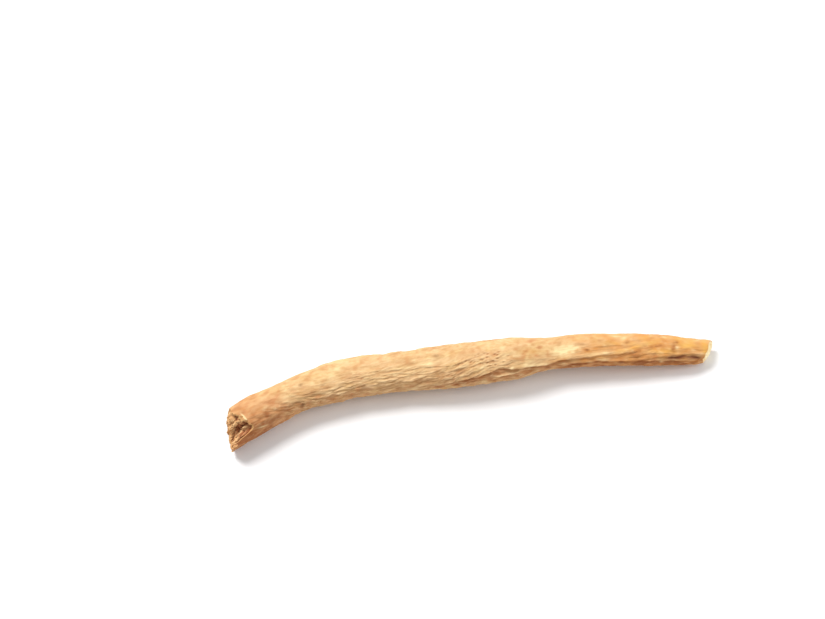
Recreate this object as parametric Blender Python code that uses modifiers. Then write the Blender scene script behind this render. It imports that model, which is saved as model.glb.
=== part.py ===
"""A dried ashwagandha root, lying on a table.

Run with: blender --background --python part.py

Metres, +Z up. The root's chord runs along X, from the broken end at -X to the cut end at +X,
and the root bows towards +Y. The origin is at the bottom centre of its box.
"""
import math

import bmesh
import bpy
import numpy as np
from mathutils import Vector

MM = 0.001

# Sections through the root, in millimetres, from the broken end to the cut end:
# place along the chord, place across it, gap under the root, width, height.
SECTIONS = (
    (-61.4, -5.0, 0.5, 9.7, 8.7),
    (-52.4, -0.2, 0.0, 10.1, 9.1),
    (-42.1, 2.8, 0.5, 9.5, 8.4),
    (-29.0, 4.2, 0.2, 10.3, 9.1),
    (-16.4, 3.6, 0.1, 10.4, 9.2),
    (-6.4, 2.5, 0.3, 11.1, 9.8),
    (1.1, 1.7, 0.6, 11.0, 9.7),
    (8.6, 1.2, 1.0, 10.6, 9.4),
    (13.7, 1.0, 1.2, 10.3, 9.1),
    (18.8, 1.0, 1.5, 8.5, 7.5),
    (23.9, 0.6, 1.6, 8.1, 7.3),
    (31.3, -0.2, 1.4, 8.7, 7.6),
    (43.7, -2.2, 0.7, 8.3, 7.3),
    (53.5, -4.0, 0.1, 7.5, 6.6),
    (58.5, -4.8, 0.0, 6.4, 5.5),
    (61.2, -5.3, 0.1, 4.9, 4.3),
)

# The cage: rings of points along the root, rounded off by subdivision.
RING_COUNT = 22
RING_POINTS = 12
SMOOTH_LEVELS = 2

# The broken end is slanted: its high side is set back and its low front side reaches furthest.
BREAK_SLANT = 2.6 * MM
BREAK_HIGH_SIDE = math.radians(45)
BREAK_SET_BACK = 1.4 * MM

# The cut end leans back a little, so that its face looks slightly upward.
CUT_SLANT = -0.8 * MM
CUT_HIGH_SIDE = math.radians(90)

# How far a slanted end still bends the rings beside it.
SLANT_REACH = 9.0 * MM

# Each end is closed by a rim ring, a ring inside it and a cap.
RIM_INSET = 0.72
RIM_WIDTH = 0.5 * MM
END_HOLLOW = 0.6 * MM

# Long lobes: number round the root, depth as a share of the radius, side, turn along the root.
LOBES = (
    (2, 0.030, math.radians(35), math.radians(50)),
    (3, 0.035, math.radians(150), math.radians(-40)),
)

# How much of the underside is worn flat where the root rests.
REST_WEAR = 0.2 * MM

# A ring of cubic subdivision points shrinks by this much, so the cage is drawn larger.
CAGE_SWELL = 6 / (4 + 2 * math.cos(2 * math.pi / RING_POINTS))

BARK_COLOUR = (0.80, 0.54, 0.29, 1)
BARK_ROUGHNESS = 0.8


def clear_scene():
    for item in list(bpy.data.objects):
        bpy.data.objects.remove(item)


def section_at(along):
    """Centre, sideways direction, half width and half height of the root at a place on its chord."""
    table = np.array(SECTIONS) * MM
    across, gap, width, height = (
        np.interp(along, table[:, 0], table[:, column]) for column in (1, 2, 3, 4)
    )
    centre = Vector((along, across, gap + height / 2))
    return centre, width / 2, height / 2


def heading_at(along):
    """Horizontal direction of the root at a place on its chord."""
    step = 4 * MM
    first = SECTIONS[0][0] * MM
    last = SECTIONS[-1][0] * MM
    before = section_at(max(along - step, first))[0]
    after = section_at(min(along + step, last))[0]
    heading = after - before
    heading.z = 0
    return heading.normalized()


def lobe_factor(angle, along):
    """How far the root's outline stands off a plain ellipse, as a factor."""
    turn = along / (SECTIONS[-1][0] * MM)
    return 1 + sum(
        depth * math.cos(count * (angle - side) + twist * turn)
        for count, depth, side, twist in LOBES
    )


def slant_at(angle, along):
    """How far a point is moved along the root by the slant of the nearer end."""
    from_break = along - SECTIONS[0][0] * MM
    from_cut = SECTIONS[-1][0] * MM - along
    by_break = max(0, 1 - from_break / SLANT_REACH)
    by_cut = max(0, 1 - from_cut / SLANT_REACH)
    broken = BREAK_SET_BACK + BREAK_SLANT * math.cos(angle - BREAK_HIGH_SIDE)
    cut = CUT_SLANT * math.cos(angle - CUT_HIGH_SIDE)
    return by_break * broken + by_cut * cut


def place_ring(ring, along, size=1.0, push=0.0):
    """Moves a ring of points to a section of the root. Angles count from +Y over the top."""
    centre, half_width, half_height = section_at(along)
    heading = heading_at(along)
    side = Vector((-heading.y, heading.x, 0))
    for number, point in enumerate(ring):
        angle = 2 * math.pi * number / RING_POINTS
        reach = CAGE_SWELL * size * lobe_factor(angle, along)
        offset = side * math.cos(angle) * half_width
        offset.z = math.sin(angle) * half_height
        point.co = centre + offset * reach + heading * (slant_at(angle, along) + push)


def next_ring(mesh, edges):
    """Extrudes a ring of edges, and returns the new ring's points and edges in the same order."""
    made = bmesh.ops.extrude_edge_only(mesh, edges=edges)["geom"]
    points = [item for item in made if isinstance(item, bmesh.types.BMVert)]
    new_edges = [item for item in made if isinstance(item, bmesh.types.BMEdge)]
    rim = [edge for edge in new_edges if edge.is_boundary]
    return points, rim


def close_end(mesh, edges, along, outward):
    """Closes an end with a rim, a shallow hollow inside it and a cap."""
    points, edges = next_ring(mesh, edges)
    place_ring(points, along, size=0.93, push=outward * RIM_WIDTH)
    points, edges = next_ring(mesh, edges)
    place_ring(points, along, size=RIM_INSET, push=outward * (RIM_WIDTH - END_HOLLOW))
    bmesh.ops.contextual_create(mesh, geom=edges)


def root_cage():
    """The coarse cage of the root: rings from the broken end to the cut end."""
    first = SECTIONS[0][0] * MM
    last = SECTIONS[-1][0] * MM
    mesh = bmesh.new()
    made = bmesh.ops.create_circle(mesh, segments=RING_POINTS, radius=5 * MM)
    points = made["verts"]
    place_ring(points, first)
    start_edges = list(mesh.edges)
    edges = start_edges
    for along in np.linspace(first, last, RING_COUNT)[1:]:
        points, edges = next_ring(mesh, edges)
        place_ring(points, float(along))
    close_end(mesh, edges, last, outward=1)
    close_end(mesh, start_edges, first, outward=-1)
    bmesh.ops.recalc_face_normals(mesh, faces=mesh.faces)
    return mesh


def worn_where_it_rests(mesh):
    """Flattens the lowest part of the underside and puts the origin at the box's bottom centre."""
    floor = min(point.co.z for point in mesh.verts) + REST_WEAR
    for point in mesh.verts:
        point.co.z = max(point.co.z, floor)
    low = [min(point.co[axis] for point in mesh.verts) for axis in range(3)]
    high = [max(point.co[axis] for point in mesh.verts) for axis in range(3)]
    middle = Vector(((low[0] + high[0]) / 2, (low[1] + high[1]) / 2, floor))
    bmesh.ops.translate(mesh, verts=mesh.verts, vec=-middle)


def bark_material():
    material = bpy.data.materials.new("dried_bark")
    material.use_nodes = True
    shader = material.node_tree.nodes["Principled BSDF"]
    shader.inputs["Base Color"].default_value = BARK_COLOUR
    shader.inputs["Roughness"].default_value = BARK_ROUGHNESS
    shader.inputs["Metallic"].default_value = 0.0
    return material


def smooth_body(cage):
    """Rounds the cage off by subdivision and returns the result as a bmesh."""
    mesh = bpy.data.meshes.new("root_cage")
    cage.to_mesh(mesh)
    cage.free()
    draft = bpy.data.objects.new("root_cage", mesh)
    bpy.context.scene.collection.objects.link(draft)
    rounding = draft.modifiers.new("rounding", "SUBSURF")
    rounding.levels = SMOOTH_LEVELS
    rounding.render_levels = SMOOTH_LEVELS
    graph = bpy.context.evaluated_depsgraph_get()
    body = bmesh.new()
    body.from_object(draft, graph)
    bpy.data.objects.remove(draft)
    return body


def make_root():
    collection = bpy.data.collections.new("ashwagandha")
    bpy.context.scene.collection.children.link(collection)
    body = smooth_body(root_cage())
    worn_where_it_rests(body)
    mesh = bpy.data.meshes.new("ashwagandha_root")
    body.to_mesh(mesh)
    body.free()
    mesh.shade_smooth()
    mesh.materials.append(bark_material())
    root = bpy.data.objects.new("ashwagandha_root", mesh)
    collection.objects.link(root)
    return root


clear_scene()
make_root()
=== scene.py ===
"""The looks of a dried ashwagandha root: wrinkled buff bark, a splintered break and a clean cut.

Metres, +Z up. The root lies along X, from the break at -X to the cut at +X, and its shape is
worked out in millimetres. Angles round it count from its +Y side over the top, so 90 is the top
and 180 the side that faces the camera. The tables give places and relief in millimetres and angles
in degrees. The functions take the angle round the root in radians.
"""
import math

import bmesh
import bpy
import numpy as np
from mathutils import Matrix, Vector


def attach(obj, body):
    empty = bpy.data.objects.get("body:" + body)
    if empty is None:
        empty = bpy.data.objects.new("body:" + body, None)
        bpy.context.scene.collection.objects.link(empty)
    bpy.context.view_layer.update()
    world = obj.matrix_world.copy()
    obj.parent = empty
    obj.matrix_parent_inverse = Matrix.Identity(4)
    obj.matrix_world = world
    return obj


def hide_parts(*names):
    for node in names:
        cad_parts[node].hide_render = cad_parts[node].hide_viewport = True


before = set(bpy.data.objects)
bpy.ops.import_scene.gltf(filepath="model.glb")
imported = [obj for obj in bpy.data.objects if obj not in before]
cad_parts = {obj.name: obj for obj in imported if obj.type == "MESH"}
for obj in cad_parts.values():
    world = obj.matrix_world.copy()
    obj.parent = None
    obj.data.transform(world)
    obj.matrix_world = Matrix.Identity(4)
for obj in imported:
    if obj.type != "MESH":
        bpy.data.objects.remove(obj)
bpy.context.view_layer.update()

MM = 0.001
TURN = 2 * math.pi

# The grids of noise and cells repeat after this many squares along the root.
GRID_SQUARES = 64
# Brings gradient noise to about -1 to 1.
NOISE_HEIGHT = 1.5
# How strong the faintest of the strewn marks is. The strongest is 1.
FAINTEST_MARK = 0.4

# Sections through the root, in millimetres, from the break to the cut:
# place along the root, place across it, gap under it, width, height.
SECTIONS = np.array((
    (-61.4, -5.0, 0.5, 9.7, 8.7),
    (-52.4, -0.2, 0.0, 10.1, 9.1),
    (-42.1, 2.8, 0.5, 9.5, 8.4),
    (-29.0, 4.2, 0.2, 10.3, 9.1),
    (-16.4, 3.6, 0.1, 10.4, 9.2),
    (-6.4, 2.5, 0.3, 11.1, 9.8),
    (1.1, 1.7, 0.6, 11.0, 9.7),
    (8.6, 1.2, 1.0, 10.6, 9.4),
    (13.7, 1.0, 1.2, 10.3, 9.1),
    (18.8, 1.0, 1.5, 8.5, 7.5),
    (23.9, 0.6, 1.6, 8.1, 7.3),
    (31.3, -0.2, 1.4, 8.7, 7.6),
    (43.7, -2.2, 0.7, 8.3, 7.3),
    (53.5, -4.0, 0.1, 7.5, 6.6),
    (58.5, -4.8, 0.0, 6.4, 5.5),
    (61.2, -5.3, 0.1, 4.9, 4.3),
))
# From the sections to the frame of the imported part, whose origin is at its box's bottom centre.
SEAT = (-0.15, 0.05, -0.23)

# Long lobes: number round the root, depth as a share of the radius, side, turn along the root.
LOBES = (
    (2, 0.030, math.radians(35), math.radians(50)),
    (3, 0.035, math.radians(150), math.radians(-40)),
)

# The mesh: points round the root, rings along its side and rings across each end face.
POINTS_ROUND = 228
SIDE_RINGS = 370
END_RINGS = 24
# How far apart the side's rings lie, by place along the root: closest where the bark is busiest.
RING_GAPS = (
    (-60, 0.20), (-56, 0.20), (-52, 0.36), (-6, 0.36), (-3, 0.20), (11, 0.20),
    (14, 0.36), (38, 0.36), (41, 0.27), (61, 0.22),
)
SIDE_START = -59.5
SIDE_END = 60.8
# How many places the rings' spacing is summed over, and how many rings from an end face's middle
# its inmost ring lies.
PLACES_TO_SPACE = 2001
INMOST_RING = 0.4
# How sharp an edge has to be, in degrees, to be shaded sharp.
SHARP_EDGE = 55
# Faces all of whose points lie nearly this far out are bark.
BARK_FACES = 0.995

# Places of the break's rim: angle round the root and place along it.
BREAK_RIM = (
    (0, -57.6), (30, -57.4), (60, -57.3), (84, -57.2), (102, -57.0), (116, -56.6), (128, -55.9),
    (138, -55.7), (145, -56.6), (150, -59.4), (155, -60.7), (164, -61.2), (174, -61.7), (182, -62.25),
    (200, -62.3), (220, -62.2), (245, -61.7), (270, -60.9), (300, -59.7), (330, -58.6),
)
# Places of the cut's rim.
CUT_RIM = (
    (0, 62.6), (20, 62.5), (36, 62.1), (50, 61.5), (70, 61.1), (95, 60.9), (120, 60.3), (150, 59.8),
    (180, 59.6), (205, 59.8), (225, 60.1), (240, 60.5), (255, 61.0), (270, 61.4), (295, 62.0),
    (320, 62.4), (340, 62.6),
)
# The end faces: rim, place of the middle, and how late the face turns from one to the other.
BREAK_FACE = (BREAK_RIM, -59.3, 1.4)
CUT_FACE = (CUT_RIM, 61.7, 1.3)
# The hole between the torn bundles, as shares of the section across the root and up.
HOLE_IN_BREAK = (-0.58, 0.36)
HOLE_SIZE = 0.20
# The share of the radius where the crevice between wood and bark lies, and where the bark begins.
CREVICE_SHARE = 0.80
BARK_SHARE = 0.86
# The splinters of the broken bark: height, change from the middle to the rim, number round, seed.
BARK_SPLINTERS = ((0.7, 0, 9, 53), (0.45, 0, 23, 54), (0.30, 3, 57, 55))
# How far the slant and splinters of an end still bend the rings beside it.
SLANT_REACH = 10.0


def smoothstep(x):
    """0 up to 0 and 1 from 1 on, with a smooth rise between them."""
    x = np.clip(x, 0, 1)
    return x * x * (3 - 2 * x)


def bell(x, half_width):
    """1 at 0, falling off to both sides."""
    return np.exp(-((x / half_width) ** 2))


def turn_between(angle, side):
    """Angle from a side of the root, given in degrees, as radians from -pi to pi."""
    return (angle - np.radians(side) + math.pi) % TURN - math.pi


def noise(u, v, seed, wrap=GRID_SQUARES):
    """Gradient noise, about -1 to 1, on a grid of whole numbers. It repeats after wrap squares of v."""
    turns = np.random.default_rng(seed).uniform(0, TURN, (GRID_SQUARES, wrap))
    u0 = np.floor(u).astype(int)
    v0 = np.floor(v).astype(int)
    fu = u - u0
    fv = v - v0
    blend_u = smoothstep(fu)
    blend_v = smoothstep(fv)
    total = np.zeros(np.broadcast(u, v).shape)
    for step_u in (0, 1):
        for step_v in (0, 1):
            turn = turns[(u0 + step_u) % GRID_SQUARES, (v0 + step_v) % wrap]
            slope = np.cos(turn) * (fu - step_u) + np.sin(turn) * (fv - step_v)
            weight_u = blend_u if step_u else 1 - blend_u
            weight_v = blend_v if step_v else 1 - blend_v
            total += weight_u * weight_v * slope
    return NOISE_HEIGHT * total


def cells(u, v, seed, wrap=GRID_SQUARES):
    """Uneven cells, one to each square of the grid: how much further the second nearest cell's
    middle is than the nearest one's, which is 0 on a border, and a number from 0 to 1 per cell."""
    table = np.random.default_rng(seed).uniform(0, 1, (GRID_SQUARES, wrap, 3))
    u0 = np.floor(u).astype(int)
    v0 = np.floor(v).astype(int)
    nearest = np.full(np.broadcast(u, v).shape, np.inf)
    second = nearest.copy()
    number = np.zeros_like(nearest)
    for step_u in (-1, 0, 1):
        for step_v in (-1, 0, 1):
            jitter = table[(u0 + step_u) % GRID_SQUARES, (v0 + step_v) % wrap]
            away = np.hypot(u0 + step_u + jitter[..., 0] - u, v0 + step_v + jitter[..., 1] - v)
            closer = away < nearest
            second = np.where(closer, nearest, np.minimum(second, away))
            number = np.where(closer, jitter[..., 2], number)
            nearest = np.where(closer, away, nearest)
    return second - nearest, number


def skin_noise(along, angle, length, number_round, seed):
    """Noise over the bark: squares of this length in mm, and so many of them round the root."""
    return noise(along / length, angle / TURN * number_round, seed, number_round)


def layered(along, angle, base, layers):
    """A base value with layers of noise over the bark. Each layer has its height, the length of its
    squares in mm, their number round the root, and a seed."""
    return sum((height * skin_noise(along, angle, *grid) for height, *grid in layers), base)


def speckled(along, angle, height, threshold, *grid):
    """Specks where one layer of noise rises above a threshold."""
    return height * np.clip(skin_noise(along, angle, *grid) - threshold, 0, 1)


def spot(along, angle, place, side, length, width):
    """A soft spot: place along and angle of its middle, half length in mm, half width in degrees."""
    return bell(along - place, length) * bell(turn_between(angle, side), math.radians(width))


def strewn(along, grain, spacing, number_round, seed, length, width, shift=(0, 0)):
    """Small lens-shaped marks strewn over the bark, one to a square of the grid, of this half length
    and half width in mm. A shift moves each of them, along the root and round it."""
    table = np.random.default_rng(seed).uniform(0, 1, (GRID_SQUARES, number_round, 3))
    u = along / spacing
    v = grain / TURN * number_round
    u0 = np.floor(u).astype(int)
    v0 = np.floor(v).astype(int)
    square_width = TURN / number_round * radius_at(along)
    marks = np.zeros_like(along)
    for step_u in (-1, 0, 1):
        for step_v in (-1, 0, 1):
            place = table[(u0 + step_u) % GRID_SQUARES, (v0 + step_v) % number_round]
            off_along = (u - u0 - step_u - place[..., 0]) * spacing - shift[0]
            off_round = (v - v0 - step_v - place[..., 1]) * square_width - shift[1]
            amount = FAINTEST_MARK + (1 - FAINTEST_MARK) * place[..., 2]
            marks = np.maximum(marks, amount * bell(off_along, length) * bell(off_round, width))
    return marks


# The places along the root, past both ends, where its measures are worked out.
PLACE_STEP = 0.1
PLACE_LIMIT = 74.0
PLACES = np.arange(-PLACE_LIMIT, PLACE_LIMIT + PLACE_STEP / 2, PLACE_STEP)
# How many places, and how many degrees of a rim, the rounding of a curve takes in.
ROUNDING = 121
RIM_ROUNDING = 15


def rounded(column):
    """One column of the sections at all the places, run on past both ends and rounded off."""
    x = SECTIONS[:, 0]
    y = SECTIONS[:, column]
    start = (y[1] - y[0]) / (x[1] - x[0])
    end = (y[-1] - y[-2]) / (x[-1] - x[-2])
    rough = np.interp(PLACES, x, y)
    rough += np.minimum(PLACES - x[0], 0) * start + np.maximum(PLACES - x[-1], 0) * end
    window = np.hanning(ROUNDING)
    padded = np.pad(rough, ROUNDING // 2, mode="edge")
    return np.convolve(padded, window / window.sum(), mode="valid")


ACROSS = rounded(1)
GAP = rounded(2)
HALF_WIDTH = rounded(3) / 2
HALF_HEIGHT = rounded(4) / 2
SWAY = np.gradient(ACROSS, PLACES)
LENGTH_SO_FAR = np.cumsum(np.hypot(1, SWAY)) * PLACE_STEP

# How the bark's grain winds round the root: place along it and degrees per millimetre.
GRAIN_SLOPES = (
    (-64, 0), (-55, 2.0), (-50, 4.5), (-43, 4.5), (-38, 1.5), (-30, 0.5), (-24, -0.5), (-18, -1.5),
    (-8, -1.3), (-5, -2.8), (2, -3.1), (4, -1.0), (5, -0.3), (10, -0.3), (14, 0.3), (22, -0.8),
    (36, -1.5), (42, -3.0), (48, -2.0), (52, 0), (64, 0),
)
GRAIN_TURN = np.cumsum(np.radians(np.interp(PLACES, *zip(*GRAIN_SLOPES)))) * PLACE_STEP


def at(along, curve):
    return np.interp(along, PLACES, curve)


def radius_at(along):
    return (at(along, HALF_WIDTH) + at(along, HALF_HEIGHT)) / 2


def lobes(along, angle):
    turn = along / SECTIONS[-1, 0]
    return 1 + sum(
        depth * np.cos(count * (angle - side) + twist * turn)
        for count, depth, side, twist in LOBES
    )


def round_loop(angle, points):
    """A value that follows given points round the root, smoothly joined."""
    places = np.radians([p[0] for p in points])
    values = np.array([p[1] for p in points], float)
    places = np.concatenate((places - TURN, places, places + TURN))
    grid = np.linspace(-TURN, 2 * TURN, 3 * 360 + 1)
    rough = np.interp(grid, places, np.tile(values, 3))
    window = np.hanning(RIM_ROUNDING)
    smooth = np.convolve(rough, window / window.sum(), mode="same")
    return np.interp(angle % TURN, grid, smooth)


# Ledges: lengthwise steps where a layer of bark ends. Each has its course as places along and
# angles, how far it rises above the step and drops below it, how wide the rise and drop are, and how
# dark the painted shade under the step is.
LEDGES = {
    "long_ridge": (
        ((-23, 122), (-16, 112), (-10, 105.5), (-5, 110), (-2, 107), (1, 99), (6, 80)),
        0.14, 0.15, 0.5, 0.5, 0.5,
    ),
    "upper_wrinkle": (
        ((-33, 114), (-28, 110), (-22, 109), (-15, 104), (-9, 101)),
        0.08, 0.10, 0.4, 0.4, 0.4,
    ),
    "lower_wrinkle": (((-10, 154), (-5, 148), (0, 142), (4, 134)), 0.08, 0.14, 0.4, 0.5, 0.5),
    "left_dip": (
        ((-47, 98), (-44, 111), (-41.5, 120), (-38.5, 121), (-35, 124)),
        0.12, 0.16, 0.4, 0.4, 0.6,
    ),
    "left_low_dip": (
        ((-47.5, 117), (-44, 131), (-41, 141), (-36, 146), (-31, 148)),
        0.12, 0.14, 0.4, 0.4, 0.5,
    ),
    "left_shoulder": (
        ((-10, 168), (-5, 161), (-2, 157), (0.2, 153.5), (2.6, 150.5), (4.3, 147), (5.4, 144),
         (6.2, 141), (7.5, 138.5), (9.3, 138.5), (11, 143.5), (13, 149)),
        0.22, 0.44, 0.7, 1.0, 1.2,
    ),
    "middle_shoulder": (
        ((9, 142), (12, 145), (14, 148), (17, 152), (19, 153), (21, 150), (24, 145), (27, 139)),
        0.20, 0.34, 0.9, 1.5, 0.8,
    ),
    "low_wrinkle": (
        ((-7, 170), (-3, 166), (1, 164), (6, 164), (11, 162), (15, 165)),
        0.10, 0.20, 0.5, 0.6, 0.7,
    ),
    "right_shoulder": (
        ((21, 146), (26, 139), (30, 135), (36, 132), (39, 127), (42, 119.5), (44, 114)),
        0.28, 0.26, 0.8, 1.2, 0.5,
    ),
    "low_edge": (
        ((20, 166), (26, 159), (34, 157), (40, 157), (48, 156), (54, 156), (59.5, 158)),
        0.14, 0.30, 0.5, 1.6, 0.6,
    ),
    "pale_crest": (((5.5, 161), (9, 159), (13.5, 156)), 0.30, 0.28, 0.30, 0.6, 0.9),
    "white_crest": (((12, 141), (14, 144.5), (17, 149), (21, 149)), 0.16, 0.14, 0.25, 0.5, 0.5),
    "under_streak": (((12, 149), (14.5, 158), (18, 170)), 0.10, 0.26, 0.4, 0.4, 1.0),
    "faint_top_line": (
        ((30.5, 110), (33, 101), (36, 97), (39, 99), (43, 97)),
        0.06, 0.10, 0.5, 0.5, 0.6,
    ),
    "faint_high_line": (((25, 82), (28, 86), (32, 92)), 0.04, 0.08, 0.5, 0.5, 0.5),
    "streak_up": (((44, 110), (46, 103), (48, 94), (50, 91)), 0.06, 0.14, 0.5, 0.6, 0.2),
    "gold_line": (((53, 104), (55.5, 105), (58, 107), (60.5, 107)), 0.06, 0.10, 0.4, 0.4, 0.5),
}
# How wide a ledge's step is, how far from its ends it fades out, and how far down the painted shade
# under it reaches, in mm.
LEDGE_STEP = 0.32
LEDGE_FADE = 3.0
LEDGE_DARK_REACH = 0.4
# How much of the ledges' height is left where they are broken.
LEDGE_LEAST = 0.6
# Layers of noise that break the ledges and make their courses waver.
LEDGE_BREAKS = ((0.8, 2.6, 9, 19),)
LEDGE_WAVES = ((0.18, 1.7, 24, 17), (0.25, 4.5, 12, 18))

# The furrow near the cut, darkened in its bed with painted shade and dark brown.
FURROW_COURSE = (
    (47, 144), (49, 144), (51, 144), (53, 143), (55, 138), (56.5, 140), (58, 145), (60.8, 154),
)
# Where the furrow is deepest: place along the root and half length.
FURROW_DEEPEST = ((53.0, 2.2), (57.6, 1.8))
# Its depth and half width and the half width of the painted shade in it, in mm.
FURROW_DEPTH = 0.34
FURROW_WIDTH = 0.45
FURROW_DARK_WIDTH = 0.56
# A layer of noise in its depth, and the limits of that.
FURROW_BUMPS = ((0.7, 2.2, 16, 20),)
FURROW_LIMITS = (0.85, 1.2)

# The faint ring of an old node: angle round the root and place along it.
NODE_RING = ((66, 53.6), (75, 53.0), (90, 52.1), (105, 51.9), (120, 52.0))
# Its half width and depth in mm, and the degrees over which its ends fade out.
RING_WIDTH = 0.5
RING_DEPTH = 0.05
RING_FADE = 10


def beside(along, angle, course):
    """Distance round the root from a course, in mm, and how present the course is there."""
    places, angles = np.array(course, float).T
    turn = turn_between(angle, np.interp(along, places, angles))
    fade = min(LEDGE_FADE, (places[-1] - places[0]) / 3)
    present = smoothstep((along - places[0]) / fade) * smoothstep((places[-1] - along) / fade)
    return turn * radius_at(along), present


def ledge_relief(along, angle):
    """The ledges: relief, and how dark the painted shade under them is."""
    relief = np.zeros_like(along)
    shade = np.zeros_like(along)
    wave = layered(along, angle, 0, LEDGE_WAVES)
    whole = np.clip(layered(along, angle, 0.65, LEDGE_BREAKS), 0, 1)
    amount = LEDGE_LEAST + (1 - LEDGE_LEAST) * whole
    for course, rise, drop, rise_width, drop_width, dark in LEDGES.values():
        away, present = beside(along, angle, course)
        away = away + wave
        lower = smoothstep(away / LEDGE_STEP + 0.5)
        up = rise * bell(np.minimum(away, 0), rise_width)
        down = drop * np.exp(-np.maximum(away, 0) / drop_width)
        relief += present * (up * (1 - lower) - down * lower) * amount
        shade += dark * present * lower * whole * np.exp(-np.maximum(away, 0) / LEDGE_DARK_REACH)
    return relief, np.clip(shade, 0, 1)


def furrow_relief(along, angle):
    """The furrow: relief, and how dark the painted shade in its bed is."""
    away, present = beside(along, angle, FURROW_COURSE)
    uneven = np.clip(layered(along, angle, 0.9, FURROW_BUMPS), *FURROW_LIMITS)
    deep = sum(bell(along - place, length) for place, length in FURROW_DEEPEST)
    bed = present * (0.45 + 0.70 * deep) * uneven
    dark = 1.1 * bell(away, FURROW_DARK_WIDTH) * bed
    return -FURROW_DEPTH * bell(away, FURROW_WIDTH) * bed, np.clip(dark, 0, 1)


def node_ring(along, angle):
    """How close each point is to the ring of the old node, from 0 to 1."""
    angles, places = np.array(NODE_RING, float).T
    side = np.degrees(angle)
    ends = smoothstep((side - angles[0]) / RING_FADE) * smoothstep((angles[-1] - side) / RING_FADE)
    return bell(along - np.interp(side, angles, places), RING_WIDTH) * ends


# Swellings and hollows that shape the outline: place along, angle, half length in mm, half width in
# degrees and height in mm.
OUTLINE_SWELLS = (
    (-47.5, 28, 4.0, 32, -0.40),
    (-33.5, 28, 5.5, 30, 0.42),
    (-24.5, 28, 4.0, 30, 0.25),
    (51, 55, 6.0, 28, 0.30),
    (-41, 205, 6.5, 28, -0.60),
    (-20, 205, 18, 26, -0.40),
    (12.5, 205, 3.0, 28, 0.40),
    (32, 205, 24, 26, -0.35),
    (-63, 195, 6.0, 50, -0.60),
    (63.5, 40, 4.0, 50, 1.15),
)
# The strip under the furrow ends short of the cut, with a step of this height in mm.
STRIP_END = 58.5
STRIP_SIDES = (150, 200)
STRIP_STEP = 0.7
# Broad swellings and hollows, as layers of noise.
BROAD_SWELLS = ((0.14, 17.0, 4, 11), (0.12, 8.0, 7, 12), (0.06, 4.0, 13, 13))


def outline_relief(along, angle):
    """Everything that is broader than a wrinkle."""
    relief = sum(height * spot(along, angle, *where) for *where, height in OUTLINE_SWELLS)
    side = np.degrees(angle)
    strip = smoothstep((side - STRIP_SIDES[0]) / 10) * smoothstep((STRIP_SIDES[1] - side) / 20)
    past_step = smoothstep((along - STRIP_END) / 0.5 + 0.5)
    return layered(along, angle, relief - STRIP_STEP * strip * past_step, BROAD_SWELLS)


# Where wrinkles are shallower and deeper, as spots, a layer of noise in their depth, and its limits.
SMOOTH_FACET = (17, 100, 5, 38)
ROUGH_FLANK = (-30, 152, 16, 24)
WRINKLE_PATCHES = ((0.25, 13.0, 5, 21),)
WRINKLE_LIMITS = (0.08, 1.5)


def wrinkle_strength(along, angle):
    """How deeply the bark is wrinkled: most on the camera's side and underneath, least on top."""
    top = bell(turn_between(angle, 68), math.radians(38))
    right = smoothstep((along - 8) / 8)
    tip = smoothstep((-45 - along) / 7)
    strength = layered(along, angle, 1.05 - 0.80 * top, WRINKLE_PATCHES) * (1 - 0.45 * right)
    strength = strength * (1 - 0.6 * spot(along, angle, *SMOOTH_FACET)) * (1 - 0.35 * tip)
    return np.clip(strength + 0.35 * spot(along, angle, *ROUGH_FLANK), *WRINKLE_LIMITS)


# Nets of creases: length and height in mm of the lens-shaped ridges that they outline, half width
# and depth of a crease in mm, how dark its bed is with dirt and painted shade, how much of the net shows,
# and a seed.
NETS = (
    (6.5, 1.35, 0.17, 0.10, 0.60, 0.35, 33),
    (3.2, 0.85, 0.14, 0.13, 0.85, 0.60, 34),
    (1.8, 0.52, 0.10, 0.07, 0.65, 0.75, 35),
)
# The root's girth in mm, round which a net's ridges are spread.
GIRTH = 29.0
# How far apart, in mm, a net is read to tell its slope, and the least slope there is.
SLOPE_STEP = 0.05
LEAST_SLOPE = 0.02

# Nicks: short cracks, each a dark dash of painted shade under a lip that gets a painted highlight.
# Spacing along the root in mm, number round it, half length, half width and depth of one in mm,
# and a seed.
NICKS = (
    (3.4, 30, 0.85, 0.12, 0.11, 91),
    (1.9, 44, 0.50, 0.10, 0.08, 94),
)

# Puckers: short rounded wrinkles. Length of one in mm, number round the root, height in mm, seed.
PUCKERS = (
    (3.8, 27, 0.17, 37),
    (2.1, 42, 0.13, 38),
    (1.3, 68, 0.07, 39),
)

# How the grain wavers, as layers of noise whose height is in radians.
GRAIN_WAVES = ((0.045, 2.2, 22, 31), (0.080, 6.5, 9, 32))
# How high a point has to be before it gets a painted highlight as a crest.
CREST_START = 0.3


def crease_net(along, grain, length, height, seed):
    """Distance in mm from the creases of a net, how lengthwise they run, and a number per ridge."""
    count = round(GIRTH / height)
    round_step = SLOPE_STEP / radius_at(along)
    place, side = along / length, grain / TURN * count
    here, number = cells(place, side, seed, count)
    ahead, _ = cells(place + SLOPE_STEP / length, side, seed, count)
    beyond, _ = cells(place, side + round_step / TURN * count, seed, count)
    slope_along = (ahead - here) / SLOPE_STEP
    slope_round = (beyond - here) / SLOPE_STEP
    slope = np.hypot(slope_along, slope_round) + LEAST_SLOPE
    lengthwise = smoothstep((slope_round / slope) ** 2 * 1.6 - 0.3)
    return np.minimum(here / slope, height), lengthwise, number


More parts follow.
